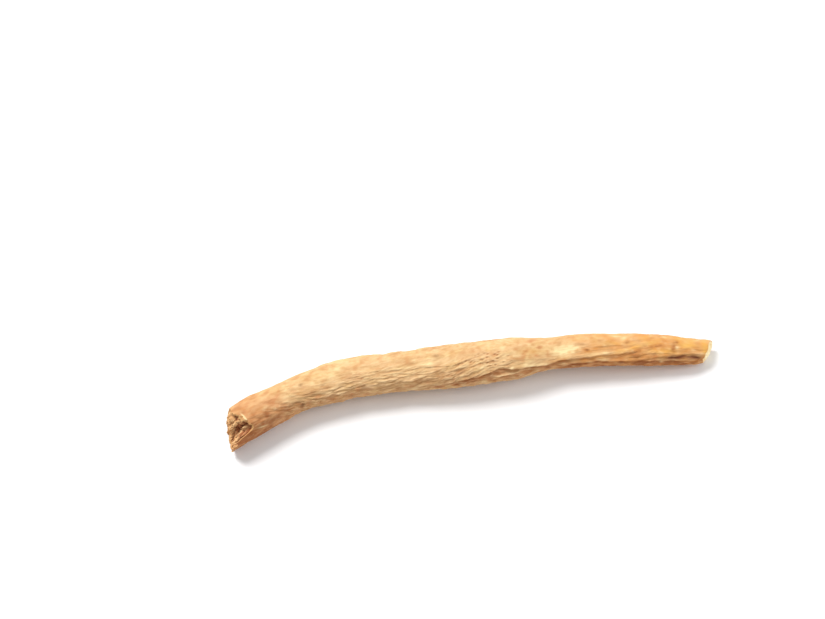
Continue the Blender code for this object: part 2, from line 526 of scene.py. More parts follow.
def wrinkles(along, angle, strength):
    """Shrinkage wrinkles: relief, how deep in a crease each point is, for dirt and painted shade, and how
    high on a ridge, for painted highlights.
    """
    grain = angle - at(along, GRAIN_TURN)
    for wave in GRAIN_WAVES:
        grain = layered(along, grain, grain, (wave,))
    relief = np.zeros_like(along)
    bed = np.zeros_like(along)
    crest_highlight = np.zeros_like(along)
    for length, number_round, height, seed in PUCKERS:
        swell = skin_noise(along, grain, length, number_round, seed)
        swell = swell + 0.5 * np.minimum(swell, 0)
        relief += height * strength * swell
        bed = np.maximum(bed, 3.6 * height * strength * smoothstep(-1.4 * swell - 0.1))
        crest_highlight = crest_highlight + 2.0 * height * strength * np.maximum(swell, 0)
    for length, height, width, depth, dark, share, seed in NETS:
        away, lengthwise, number = crease_net(along, grain, length, height, seed)
        shown = smoothstep(share + 1.3 * skin_noise(along, grain, length, 12, seed + 50))
        there = shown * strength * (0.25 + 0.75 * lengthwise)
        relief -= depth * there * (0.55 * bell(away, width) + 0.45 * np.exp(-away / (2.4 * width)))
        relief += 0.35 * depth * strength * (number - 0.5) * smoothstep(away / (3 * width))
        bed = np.maximum(bed, dark * there * bell(away, 1.25 * width))
        crest_highlight = crest_highlight + 0.5 * strength * number * smoothstep(away / (2.5 * width) - 0.4)
    for spacing, number_round, length, width, depth, seed in NICKS:
        nick = strength * strewn(along, grain, spacing, number_round, seed, length, width)
        lip = strength * strewn(along, grain, spacing, number_round, seed, length, width, (0, -2 * width))
        relief += depth * (0.4 * lip - nick)
        bed = np.maximum(bed, 0.9 * nick)
        crest_highlight = crest_highlight + 0.5 * lip
    return relief, np.clip(bed, 0, 1), np.clip(crest_highlight - CREST_START, 0, 1)


# Where cross cracks part the bark into small scales, as a spot, and the noise in that spot's edge.
SCALE_SPOT = (5.2, 105, 6.5, 26)
SCALE_EDGE = ((0.25, 2.0, 18, 41),)
# How the rows of scales waver.
SCALE_WAVES = ((0.03, 1.6, 22, 43),)
# Spacing of the cracks along the root in mm, their number round it, and a seed.
SCALE_GRID = (1.35, 34, 42)
# Half length and half width of a crack and of the scale beside it, and how far off that lies, in mm.
CRACK_SIZE = (0.38, 0.16)
SCALE_SIZE = (0.44, 0.26)
SCALE_SHIFT = (0.25, -0.42)
# Height of a scale and depth of a crack in mm.
SCALE_HEIGHT = 0.15
CRACK_DEPTH = 0.34


def scales(along, angle):
    """The scaly patch: relief, how deep in a crack each point is, for painted shade in the cracks, and
    how high on a scale, for painted highlights on the scales.
    """
    grain = layered(along, angle, angle - at(along, GRAIN_TURN), SCALE_WAVES)
    there = spot(along, angle, *SCALE_SPOT)
    there = smoothstep(layered(along, angle, there * 1.7 - 0.25, SCALE_EDGE))
    crack = strewn(along, grain, *SCALE_GRID, *CRACK_SIZE)
    scale = strewn(along, grain, *SCALE_GRID, *SCALE_SIZE, SCALE_SHIFT)
    relief = there * (SCALE_HEIGHT * scale - CRACK_DEPTH * crack)
    return relief, 1.6 * there * crack, there * scale


# Small round marks: place along, angle, radius and depth in mm.
SCARS = (
    (-41.3, 87, 0.50, 0.14),
    (-42.5, 150, 0.60, 0.22),
    (-7.1, 78, 0.65, 0.12),
    (5.5, 74, 0.50, 0.06),
    (30.5, 111, 0.35, 0.14),
    (40.6, 83, 0.60, 0.05),
    (-24.0, 20, 0.60, 0.25),
    (12.0, 330, 0.70, 0.30),
    (-35.0, 265, 0.60, 0.25),
    (30.0, 235, 0.50, 0.22),
    (50.0, 10, 0.40, 0.18),
)
# A mark's width as a share of its length, the height of its rim as a share of its depth, and how
# deep a mark is that is fully dark, in mm.
SCAR_NARROWNESS = 0.7
SCAR_RIM = 0.4
DARK_SCAR_DEPTH = 0.2


def scar_marks(along, angle):
    """The round marks: relief, and how dark they are."""
    relief = np.zeros_like(along)
    marks = np.zeros_like(along)
    for place, side, size, depth in SCARS:
        across = turn_between(angle, side) * radius_at(along)
        apart = np.hypot((along - place) * SCAR_NARROWNESS, across)
        relief += depth * (SCAR_RIM * bell(apart - size, 0.45 * size) - bell(apart, 0.55 * size))
        marks += bell(apart, 0.8 * size) * min(1, depth / DARK_SCAR_DEPTH)
    return relief, np.clip(marks, 0, 1)


# Raised pale flakes of bark: place along and angle of the middle, half length and half width in mm,
# how far the flake's course turns round the root in degrees per mm, and height in mm.
FLAKES = (
    (-56.6, 99, 0.20, 1.30, 0, 0.22),
    (-54.3, 152, 1.2, 0.22, 3, 0.14),
    (10.9, 139, 0.50, 0.38, 0, 0.18),
    (15.5, 144, 0.90, 0.26, 2, 0.16),
    (24.3, 155, 0.70, 0.30, 0, 0.09),
    (9.3, 158, 2.6, 0.22, -0.6, 0.18),
    (15.0, 155, 1.3, 0.22, 2, 0.10),
    (-2.0, 166, 1.8, 0.28, -0.5, 0.09),
    (3.6, 126, 0.60, 0.35, 0, 0.12),
    (-1.5, 118, 1.0, 0.28, -2, 0.10),
    (-14.5, 104, 1.2, 0.34, -2, 0.08),
    (49.0, 160, 0.50, 0.32, 0, 0.12),
    (52.9, 100, 0.45, 0.40, 0, 0.12),
    (34.5, 150, 1.4, 0.30, 0, 0.10),
)


def patch(along, angle, spots):
    """All the spots of one table together."""
    total = np.zeros_like(along)
    for place, side, length, width, turn, amount in spots:
        across = turn_between(angle, side + turn * (along - place)) * radius_at(along)
        total += amount * bell(along - place, length) * bell(across, width)
    return total


def bark(along, angle):
    """The bark's relief in mm and the fields that go with it: dirt and painted shade in creases, painted
    highlights on crests, and marks.
    """
    strength = wrinkle_strength(along, angle)
    wrinkle, bed, crest_highlight = wrinkles(along, angle, strength)
    scale, crack, scale_highlight = scales(along, angle)
    scar, marks = scar_marks(along, angle)
    ledge, under_ledge = ledge_relief(along, angle)
    furrow, in_furrow = furrow_relief(along, angle)
    ring = node_ring(along, angle)
    relief = outline_relief(along, angle) + wrinkle + scale + scar + ledge + furrow
    relief += patch(along, angle, FLAKES) - RING_DEPTH * ring
    # Fields for the colours: dirt and painted shade in creases, cracks and under the ledges, painted
    # highlights on crests and scales, scars, painted shade in the furrow, and the node's ring.
    fields = {
        "groove_dirt_and_shade": np.clip(np.maximum(bed, crack) + 0.6 * under_ledge, 0, 1),
        "crest_highlight": np.maximum(crest_highlight, scale_highlight),
        "scar": marks,
        "furrow": in_furrow,
        "node_ring": ring,
    }
    return relief, fields


def plain_tube():
    """A closed tube of radius 1 whose height counts rings, from one face's middle to the other's."""
    levels = SIDE_RINGS + 2 * END_RINGS
    tube = bmesh.new()
    bmesh.ops.create_cone(
        tube, cap_ends=True, cap_tris=False, segments=POINTS_ROUND, radius1=1, radius2=1, depth=levels
    )
    long_edges = [e for e in tube.edges if abs(e.verts[0].co.z - e.verts[1].co.z) > 1]
    bmesh.ops.subdivide_edges(tube, edges=long_edges, cuts=levels - 1)
    caps = [f for f in tube.faces if len(f.verts) > 4]
    bmesh.ops.poke(tube, faces=caps)
    for vert in tube.verts:
        vert.co.z += levels / 2
    return tube


def torn_bundles(p, q):
    """The torn bundles of fibre over a section of the root: how far they stand out in mm, the gaps
    between them, and a number from 0 to 1 for each."""
    p, q = p + 0.05 * noise(p * 7, q * 7, 56), q + 0.05 * noise(p * 7 + 5, q * 7 + 3, 57)
    border, number = cells(p * 3.4 + 9.3, q * 3.4 + 4.1, 51)
    fine_border, fine_number = cells(p * 9 + 2.2, q * 9 + 7.7, 52)
    splinters = noise(p * 15 + 1.3, q * 15 + 8.1, 58)
    heights = 1.2 * (number - 0.5) + 0.8 * (fine_number - 0.5) + 0.5 * splinters
    gaps = bell(border, 0.09) + 0.25 * bell(fine_border, 0.12)
    return heights, gaps, 0.6 * number + 0.4 * fine_number


def over_section(angle, share):
    """A point of an end face as shares of the section, across the root and up."""
    return share * np.cos(angle), share * np.sin(angle)


def smooth_face(angle, share, rim, middle, lateness):
    """Place along the root of an end face, before its wood and bark make it uneven."""
    return middle + (round_loop(angle, rim) - middle) * share ** lateness


def break_place(angle, share):
    """Place along the root of the break's surface, with its bundles, gaps and splinters."""
    p, q = over_section(angle, share)
    heights, gaps, _ = torn_bundles(p, q)
    gaping = bell(turn_between(angle, 105), math.radians(48))
    crevice = bell(share - CREVICE_SHARE, 0.06) * (0.25 + 0.4 * gaping)
    hole = bell(np.hypot(p - HOLE_IN_BREAK[0], q - HOLE_IN_BREAK[1]), HOLE_SIZE)
    wood = -heights + 0.45 * gaps + crevice + 1.2 * hole
    ragged = sum(
        height * noise(share * change, angle / TURN * count, seed, count)
        for height, change, count, seed in BARK_SPLINTERS
    )
    bark_ring = smoothstep((share - BARK_SHARE) / 0.05)
    return smooth_face(angle, share, *BREAK_FACE) + wood * (1 - bark_ring) + ragged * bark_ring


def cut_place(angle, share):
    """Place along the root of the cut face, with the marks of the saw."""
    p, q = over_section(angle, share)
    saw = 0.10 * noise(p * 3 + 2.3, q * 9 + 4.1, 61) + 0.06 * noise(p * 16 + 2.2, q * 16 + 7.7, 62)
    gaping = smoothstep(0.5 + 2 * noise(p * 2 + 7, q * 2 + 3, 63))
    crevice = 0.16 * bell(share - CREVICE_SHARE, 0.05) * gaping
    return smooth_face(angle, share, *CUT_FACE) + saw - crevice


def root_points(tube):
    """Angle, ring level and share of the radius of each point of the plain tube."""
    co = np.array([vert.co for vert in tube.verts])
    level = co[:, 2]
    angle = np.arctan2(co[:, 1], co[:, 0]) % TURN
    from_break = level + INMOST_RING
    from_cut = SIDE_RINGS + 2 * END_RINGS - level + INMOST_RING
    share = np.clip(np.minimum(from_break, from_cut) / (END_RINGS + INMOST_RING), 0, 1)
    share *= np.clip(np.hypot(co[:, 0], co[:, 1]), 0, 1)
    return angle, level, share


def side_place(ring):
    """Place along the root of a ring of the side, before the ends bend it."""
    places = np.linspace(SIDE_START, SIDE_END, PLACES_TO_SPACE)
    rings = np.cumsum(1 / np.interp(places, *zip(*RING_GAPS)))
    rings = (rings - rings[0]) / (rings[-1] - rings[0]) * SIDE_RINGS
    return np.interp(ring, rings, places)


def place_along(angle, level, share):
    """Place along the root of each point, with the rings near the ends bent to meet the rims."""
    whole = np.ones_like(angle)
    first = break_place(angle, whole)
    last = cut_place(angle, whole)
    along = side_place(level - END_RINGS)
    near_break = np.clip(1 - (along - SIDE_START) / SLANT_REACH, 0, 1) ** 2
    near_cut = np.clip(1 - (SIDE_END - along) / SLANT_REACH, 0, 1) ** 2
    along = along + near_break * (first - SIDE_START) + near_cut * (last - SIDE_END)
    along = np.where(level < END_RINGS, break_place(angle, share), along)
    return np.where(level > END_RINGS + SIDE_RINGS, cut_place(angle, share), along)


def shape_root(tube):
    """Bends the plain tube into the root. Returns the values that the materials read."""
    angle, level, share = root_points(tube)
    along = place_along(angle, level, share)
    relief, values = bark(along, angle)
    radius = radius_at(along)
    reach = share * (lobes(along, angle) + relief / radius * share ** 3)
    sway = at(along, SWAY)
    size = np.hypot(1, sway)
    sideways = np.cos(angle) * at(along, HALF_WIDTH) * reach
    x = along - sway / size * sideways
    y = at(along, ACROSS) + sideways / size
    z = at(along, GAP) + at(along, HALF_HEIGHT) * (1 + np.sin(angle) * reach)
    points = np.stack((x, y, z), 1) + np.array(SEAT)
    points[:, 2] = np.maximum(points[:, 2], 0)
    for vert, point in zip(tube.verts, points * MM):
        vert.co = point
    across, up = over_section(angle - at(along, GRAIN_TURN), radius * share)
    sunk = along - smooth_face(angle, share, *BREAK_FACE)
    values["straight"] = np.stack((at(along, LENGTH_SO_FAR), across, up), 1)
    values["share"] = share
    # How far the break sinks, which darkens it with painted shade.
    values["hollow"] = np.clip(0.5 + 0.6 * sunk, 0, 1) * (level < END_RINGS)
    values["bundle"] = torn_bundles(*over_section(angle, share))[2]
    values["orange"] = orange_tint(along, angle)
    values["gold"] = gold_tint(along, angle)
    # Pale scuffs and flakes, and painted highlights on some crests.
    values["scuff_and_highlight"] = scuffs_and_highlights(along, angle)
    values["stain"] = stains(along, angle)
    # Brown smudges, painted shade and a painted shadow at the tip.
    values["brown"] = brown_and_painted_shade(along, angle)
    return values


# Spots of colour: place along and angle of the middle, half length and half width in mm, how far
# the spot's course turns round the root in degrees per mm, and how strong it is.
ORANGE_SPOTS = (
    (42.8, 128, 1.6, 1.0, -2, 1.0),
    (47.0, 98, 2.6, 0.5, -4, 0.7),
    (30.3, 112, 1.2, 0.6, 4, 0.6),
    (24.0, 142, 3.0, 0.5, -1, 0.6),
    (-56.4, 141, 1.3, 0.8, 0, 0.7),
    (-33.5, 163, 1.5, 0.8, 0, 0.5),
    (48.0, 135, 3.0, 0.5, 0, 0.5),
    (33.5, 145, 1.8, 0.6, 0, 0.8),
    (38.0, 143, 2.2, 0.7, 0, 0.7),
    (29.5, 149, 1.5, 0.5, 0, 0.5),
    (35.0, 140, 7.0, 0.9, -0.8, 0.35),
    (34.0, 106, 5.0, 0.8, 0, 0.22),
    (43.6, 116, 0.8, 1.0, -2, 0.6),
    (45.5, 134, 2.0, 0.6, 0, 0.4),
    (53.8, 76, 0.6, 0.5, 0, 0.5),
)
GOLD_SPOTS = (
    (56.0, 88, 2.2, 0.9, 0, 0.9),
    (50.5, 117, 3.0, 0.7, 0, 0.8),
    (46.0, 84, 2.2, 0.8, -3, 0.7),
    (41.5, 108, 3.0, 0.5, -4, 0.7),
    (37.0, 86, 2.6, 0.8, 0, 0.5),
    (55.0, 55, 3.0, 1.2, 0, 0.6),
    (60.0, 70, 0.8, 2.2, 0, 0.6),
    (60.2, 105, 0.6, 1.6, 0, 0.6),
    (16.0, 98, 2.6, 0.9, 0, 0.5),
    (5.7, 74, 0.7, 0.6, 0, 0.6),
    (-30.5, 128, 1.2, 0.7, 0, 0.5),
)
# Pale spots. The long ones at -20 and -10 along the long ridge and the band at 33.5 above the right
# shoulder are painted highlights on crests; the rest are pale marks.
PALE_SPOTS = (
    (33.5, 126, 5.5, 0.40, -1, 0.55),
    (18.0, 145, 2.6, 0.40, 1, 0.7),
    (40.0, 65, 0.9, 0.6, -3, 0.5),
    (-31.5, 72, 0.9, 0.6, 3, 0.5),
    (-17.0, 115, 9.0, 1.5, -0.9, 0.28),
    (-33.0, 132, 4.5, 1.3, 0, 0.22),
    (33.2, 146, 0.8, 0.45, 0, 0.25),
    (35.8, 144, 1.0, 0.40, 0, 0.25),
    (6.0, 121, 1.6, 0.30, 0, 0.35),
    (8.6, 109, 0.9, 0.30, 0, 0.35),
    (2.6, 112, 1.2, 0.28, -1, 0.30),
    (31.0, 157, 0.6, 0.40, 0, 0.30),
    (51.0, 151, 2.6, 0.30, 0, 0.35),
    (-20.0, 101, 3.5, 0.35, 0.8, 0.35),
    (-10.0, 99, 4.0, 0.35, 0, 0.30),
    (-45.0, 107, 1.3, 0.25, 5, 0.40),
    (-45.5, 121, 1.3, 0.25, 5, 0.35),
    (-43.5, 136, 1.2, 0.22, 5, 0.30),
)
# The big scuff where the root narrows.
RUBBED_SPOTS = (
    (26.8, 98, 1.7, 0.80, 0, 1.0),
    (24.8, 113, 2.2, 0.85, 1, 1.0),
    (22.8, 100, 1.5, 0.80, 0, 0.6),
    (27.8, 107, 0.9, 0.50, 0, 0.6),
    (20.6, 119, 1.8, 0.70, 2, 0.3),
)
# How high a flake is that is wholly pale, in mm.
PALE_HEIGHT = 0.17
STAINS = (
    (30.2, 110, 0.9, 0.35, 5, 0.8),
    (40.6, 84, 0.8, 0.5, -3, 0.55),
    (33.8, 77, 1.8, 0.35, 0, 0.4),
    (23.6, 78, 0.8, 0.5, -3, 0.5),
    (29.3, 88, 1.3, 0.3, 3, 0.5),
    (46.8, 65, 0.7, 0.5, -3, 0.45),
    (43.5, 75, 0.8, 0.3, -2, 0.35),
    (46.2, 103, 1.5, 0.45, -5, 0.75),
    (48.6, 93, 1.1, 0.4, -3, 0.65),
    (43.3, 124, 0.9, 1.3, -3, 0.60),
    (42.0, 138, 0.9, 0.5, 0, 0.60),
    (41.0, 133, 1.6, 0.5, -1, 0.35),
    (53.0, 77, 0.5, 0.7, 0, 0.80),
    (52.2, 88, 0.45, 0.9, 0, 0.6),
    (52.0, 109, 0.55, 0.9, 0, 0.90),
    (54.6, 110, 1.2, 0.3, 0, 0.35),
    (-7.6, 77, 0.9, 0.6, 2, 0.35),
    (42.4, 137, 1.2, 0.4, 0, 0.6),
    (24.0, 148, 1.8, 0.35, -1, 0.7),
    (31.0, 144, 0.7, 0.35, 0, 0.6),
    (11.7, 146.5, 0.7, 0.38, 2, 1.1),
    (14.2, 150, 1.2, 0.22, 1, 0.8),
    (17.0, 156, 1.6, 0.32, 1, 0.9),
    (20.2, 154, 0.9, 0.35, 0, 0.9),
    (9.5, 165, 2.6, 0.35, 0, 0.8),
    (15.6, 167, 1.2, 0.5, 3, 1.0),
    (-6.0, 165, 1.6, 0.3, -1, 0.7),
    (0.5, 158, 2.4, 0.35, -1.2, 0.7),
    (4.0, 152, 1.8, 0.3, -1.8, 0.6),
    (41.0, 168, 4.5, 0.8, 0, 0.6),
    (51.0, 168, 4.0, 0.8, 0, 0.4),
    (57.6, 165, 0.9, 0.7, 0, 0.7),
    (-43.2, 145, 1.3, 0.3, 4, 0.6),
    (-39.2, 121, 1.2, 0.25, 0, 0.9),
    (-34.6, 119, 1.1, 0.25, 1, 0.6),
)

# Layers of noise in the colours.
ORANGE_LAYERS = ((0.50, 3.4, 11, 71), (0.25, 1.4, 26, 72))
RUBBED_LAYERS = ((0.9, 2.4, 16, 81), (1.0, 1.1, 34, 83))
STAIN_LAYERS = ((0.8, 0.9, 40, 84),)
BROWN_LAYERS = ((0.5, 3.5, 14, 91), (0.5, 1.5, 30, 92))
# Specks: strength, threshold, length of a square in mm, number round the root and a seed.
GOLD_SPECKS = (0.8, 0.05, 2.6, 14, 73)
PALE_SPECKS = ((0.4, 0.2, 6.0, 10, 82), (0.7, 0.35, 1.7, 22, 85))
BROWN_SPECKS = ((0.60, 0.05, 2.2, 17, 93), (0.32, 0.20, 1.0, 36, 95))
MOST_BROWN_SPECKS = 0.38
# Bands of painted shade under ledges: name of the ledge, strength and width in mm.
PAINTED_SHADE_BANDS = (("left_shoulder", 0.62, 1.8), ("middle_shoulder", 0.60, 3.0), ("low_edge", 0.84, 3.2))


def orange_tint(along, angle):
    """The bark turns more orange towards the cut end, and in a few spots."""
    right = smoothstep((along - 14) / 34)
    tint = right * layered(along, angle, 0.80, ORANGE_LAYERS)
    return np.clip(tint + patch(along, angle, ORANGE_SPOTS), 0, 1)


def gold_tint(along, angle):
    """Golden spots, most of them towards the cut end."""
    right = smoothstep((along - 20) / 25)
    specks = right * speckled(along, angle, *GOLD_SPECKS)
    return np.clip(specks + patch(along, angle, GOLD_SPOTS), 0, 1)


def scuffs_and_highlights(along, angle):
    """Pale rubbed places and flakes, with painted highlights along some crests."""
    ragged = np.clip(layered(along, angle, 0.84, RUBBED_LAYERS), 0, 1.1)
    pale = ragged * np.clip(patch(along, angle, RUBBED_SPOTS), 0, 1)
    pale = sum((speckled(along, angle, *specks) for specks in PALE_SPECKS), pale)
    pale = pale + patch(along, angle, FLAKES) / PALE_HEIGHT
    return np.clip(pale + patch(along, angle, PALE_SPOTS), 0, 1)


def stains(along, angle):
    """Small brown smudges."""
    ragged = np.clip(layered(along, angle, 0.9, STAIN_LAYERS), 0, 1.3)
    return np.clip(ragged * patch(along, angle, STAINS), 0, 1)


def below(along, angle, course, width):
    """How far a point is in the band just under a course, which fades out over its width in mm."""
    away, present = beside(along, angle, course)
    return present * smoothstep(away / 0.3 + 0.5) * smoothstep(1.6 - away / width)


def brown_and_painted_shade(along, angle):
    """Browner bark and painted shade: painted shade on the lower sides and below the shoulder folds,
    brown smudges, and a browner tip towards the break that is partly a painted shadow.
    """
    side = np.degrees(angle)
    cloud = layered(along, angle, 0.8, BROWN_LAYERS)
    # Painted shade: the lower sides are browner, less so in the middle of the left half.
    lower_side = smoothstep((95 - np.abs(side - 215)) / 40)
    left_middle = bell(along + 17, 14)
    brown = 0.39 * lower_side * (1 - 0.6 * left_middle)
    # Painted shade in bands under the shoulder folds and the low edge.
    for ledge, strength, width in PAINTED_SHADE_BANDS:
        brown = np.maximum(brown, strength * below(along, angle, LEDGES[ledge][0], width))
    facet = bell(along - 16, 5) * bell(turn_between(angle, 92), 0.7)
    brown = np.maximum(brown, 0.34 * facet)
    top = bell(turn_between(angle, 60), 0.8)
    specks = sum(speckled(along, angle, *row) for row in BROWN_SPECKS) * (0.9 + 0.4 * top)
    brown = brown * cloud + np.minimum(specks, MOST_BROWN_SPECKS)
    # Towards the break the bark is browner, partly a painted shadow, more so on the camera's side.
    tip = smoothstep((-42 - along) / 12)
    camera_side = smoothstep((side - 95) / 40)
    tip_brown_and_shadow = (0.55 + 0.25 * camera_side) * (0.6 + 0.4 * cloud)
    return np.clip(brown * (1 - 0.5 * tip) + tip_brown_and_shadow * tip, 0, 1)


def place_in_scene(thing):
    bpy.context.scene.collection.objects.link(thing)


def make_root():
    tube = plain_tube()
    values = shape_root(tube)
    bark_index, broken_index, cut_index = range(3)
    for face in tube.faces:
        inmost = min(values["share"][vert.index] for vert in face.verts)
        at_cut = values["straight"][face.verts[0].index, 0] > LENGTH_SO_FAR[len(PLACES) // 2]
        wood_index = cut_index if at_cut else broken_index
        face.material_index = bark_index if inmost > BARK_FACES else wood_index
    mesh = bpy.data.meshes.new("wrinkled_root")
    tube.to_mesh(mesh)
    tube.free()
    for name, value in values.items():
        if value.ndim == 2:
            layer = mesh.attributes.new(name, "FLOAT_VECTOR", "POINT")
            layer.data.foreach_set("vector", (value * MM).astype(np.float32).ravel())
        else:
            layer = mesh.attributes.new(name, "FLOAT", "POINT")
            layer.data.foreach_set("value", value.astype(np.float32))
    mesh.shade_smooth()
    mesh.set_sharp_from_angle(angle=math.radians(SHARP_EDGE))
    for material in (bark_material(), broken_wood_material(), cut_wood_material()):
        mesh.materials.append(material)
    root = bpy.data.objects.new("wrinkled_root", mesh)
    place_in_scene(root)
    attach(root, "root")
    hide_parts("ashwagandha_root")


def colour(red, green, blue):
    """A colour as it shows on a screen, 0 to 255, as the linear colour that shaders take."""
    parts = [value / 255 for value in (red, green, blue)]
    linear = [p / 12.92 if p <= 0.04045 else ((p + 0.055) / 1.055) ** 2.4 for p in parts]
    return (*linear, 1)


class Nodes:
    """Short ways to add and join a material's nodes."""

    def __init__(self, name):
        self.material = bpy.data.materials.new(name)
        self.material.use_nodes = True
        self.tree = self.material.node_tree
        self.shader = self.tree.nodes["Principled BSDF"]

    def add(self, kind, **settings):
        node = self.tree.nodes.new(kind)
        for name, value in settings.items():
            setattr(node, name, value)
        return node

    def join(self, source, target):
        self.tree.links.new(source, target)

    def fill(self, socket, source):
        if isinstance(source, bpy.types.NodeSocket):
            self.join(source, socket)
        else:
            socket.default_value = source

    def value(self, name):
        return self.add("ShaderNodeAttribute", attribute_name=name).outputs["Fac"]

    def place(self, lengthwise):
        """The straightened root's coordinates, scaled along it to stretch a texture."""
        node = self.add("ShaderNodeAttribute", attribute_name="straight")
        mapping = self.add("ShaderNodeMapping", vector_type="POINT")
        mapping.inputs["Scale"].default_value = (lengthwise, 1, 1)
        self.join(node.outputs["Vector"], mapping.inputs["Vector"])
        return mapping.outputs["Vector"]

    def noise(self, where, scale, detail=3.0, roughness=0.55, twist=0.0):
        node = self.add("ShaderNodeTexNoise")
        node.inputs["Scale"].default_value = scale
        node.inputs["Detail"].default_value = detail
        node.inputs["Roughness"].default_value = roughness
        node.inputs["Distortion"].default_value = twist
        self.join(where, node.inputs["Vector"])
        return node.outputs["Fac"]

    def ramp(self, source, stops):
        node = self.add("ShaderNodeValToRGB")
        elements = node.color_ramp.elements
        while len(elements) < len(stops):
            elements.new(0.5)
        for element, (position, shade) in zip(elements, stops):
            element.position = position
            element.color = shade if isinstance(shade, tuple) else (shade, shade, shade, 1)
        self.join(source, node.inputs["Fac"])
        return node.outputs["Color"]

    def mix(self, amount, first, second):
        """A mix of two colours, whose sockets are inputs 6 and 7 and output 2 of the node."""
        node = self.add("ShaderNodeMix", data_type="RGBA")
        self.fill(node.inputs[0], amount)
        self.fill(node.inputs[6], first)
        self.fill(node.inputs[7], second)
        return node.outputs[2]

    def tint(self, tone, tints):
        """A tone mixed with a colour wherever a value of the mesh says so, by up to a share."""
        for name, share, tint_colour in tints:
            amount = self.add("ShaderNodeMath", operation="MULTIPLY")
            self.join(self.value(name), amount.inputs[0])
            amount.inputs[1].default_value = share
            tone = self.mix(amount.outputs[0], tone, tint_colour)
        return tone

    def bump(self, height, strength, distance, base=None):
        node = self.add("ShaderNodeBump")
        node.inputs["Strength"].default_value = strength
        node.inputs["Distance"].default_value = distance
        self.join(height, node.inputs["Height"])
        if base is not None:
            self.join(base, node.inputs["Normal"])
        return node.outputs["Normal"]

    def finish(self, tone, roughness, shine, normal=None):
        self.fill(self.shader.inputs["Base Color"], tone)
        self.shader.inputs["Roughness"].default_value = roughness
        self.shader.inputs["Specular IOR Level"].default_value = shine
        if normal is not None:
            self.join(normal, self.shader.inputs["Normal"])
        return self.material


BUFF_LIGHT = colour(234, 203, 152)
BUFF = colour(224, 183, 127)
BUFF_DARK = colour(199, 152, 97)
# Dirt and painted shade in the beds of creases and cracks, and the node's ring.
GROOVE_BROWN = colour(164, 98, 52)
# Dark brown and painted shade in the furrow's bed.
DEEP_BROWN = colour(106, 50, 24)
# Browns of brown smudges and of painted shade on the lower sides, under the folds and at the tip.
SMUDGE_AND_SHADE_TAN = colour(190, 110, 54)
SHADE_BROWN = colour(156, 92, 48)
STAIN_BROWN = colour(160, 98, 46)
ORANGE = colour(220, 142, 62)
GOLD = colour(234, 181, 84)
# Pale scuffs and flakes, and painted highlights on some crests.
SCUFF_AND_HIGHLIGHT_PALE = colour(255, 232, 176)
# Painted highlight on crests and scales.
CREST_HIGHLIGHT = colour(248, 214, 166)
SCAR_BROWN = colour(118, 76, 44)
WOOD_CREAM = colour(230, 190, 138)
WOOD_TAN = colour(194, 136, 84)
WOOD_RED = colour(172, 96, 54)
# Painted shade in the break's hollows.
WOOD_DARK = colour(116, 72, 46)
CUT_PALE = colour(255, 246, 216)
CUT_CREAM = colour(255, 236, 186)
CUT_TAN = colour(250, 214, 146)
CUT_STAIN = colour(226, 178, 112)
PINK_BUFF = colour(224, 174, 128)
YELLOW_BUFF = colour(238, 208, 144)

# What the values of the mesh mix into the bark's colour, in this order: value, share and colour. The
# warm tints go under the brown and painted shade, and the marks over it, among them painted highlights
# on crests and painted shade in creases, under ledges and in the furrow.
WARM_TINTS = (("orange", 0.72, ORANGE), ("gold", 0.60, GOLD))
MARK_TINTS = (
    ("crest_highlight", 0.55, CREST_HIGHLIGHT),
    ("scuff_and_highlight", 0.85, SCUFF_AND_HIGHLIGHT_PALE),
    ("stain", 0.75, STAIN_BROWN),
    ("groove_dirt_and_shade", 0.70, GROOVE_BROWN),
    ("node_ring", 0.25, GROOVE_BROWN),
    ("scar", 0.8, SCAR_BROWN),
    ("furrow", 0.92, DEEP_BROWN),
)


def bark_material():
    nodes = Nodes("dried_root_bark")
    grain = nodes.place(0.12)
    skin = nodes.place(0.45)
    mottle = nodes.noise(skin, 560, 4)
    speckle = nodes.noise(skin, 1500, 3, 0.6)
    fibre = nodes.noise(grain, 3000, 3, 0.6, 0.3)
    tone = nodes.ramp(mottle, ((0.35, BUFF_DARK), (0.50, BUFF), (0.63, BUFF_LIGHT)))
    tone = nodes.mix(0.35, tone, nodes.ramp(fibre, ((0.35, BUFF_DARK), (0.62, BUFF_LIGHT))))
    tone = nodes.mix(0.35, tone, nodes.ramp(speckle, ((0.38, BUFF_DARK), (0.60, BUFF_LIGHT))))
    warmth = nodes.noise(skin, 380, 3, 0.5, 0.4)
    tone = nodes.mix(nodes.ramp(warmth, ((0.50, 0.0), (0.66, 0.35))), tone, PINK_BUFF)
    tone = nodes.mix(nodes.ramp(warmth, ((0.34, 0.3), (0.48, 0.0))), tone, YELLOW_BUFF)
    tone = nodes.tint(tone, WARM_TINTS)
    # The brown value holds brown smudges, painted shade on the lower sides and under the folds, and a
    # painted shadow at the tip.
    brown = nodes.value("brown")
    browning = nodes.ramp(brown, ((0.15, BUFF_DARK), (0.50, SMUDGE_AND_SHADE_TAN), (0.85, SHADE_BROWN)))
    tone = nodes.tint(nodes.mix(brown, tone, browning), MARK_TINTS)
    pores = nodes.noise(skin, 2600, 3)
    fibrous = nodes.bump(fibre, 0.5, 0.00012)
    return nodes.finish(tone, 0.82, 0.3, nodes.bump(pores, 0.35, 0.0001, fibrous))


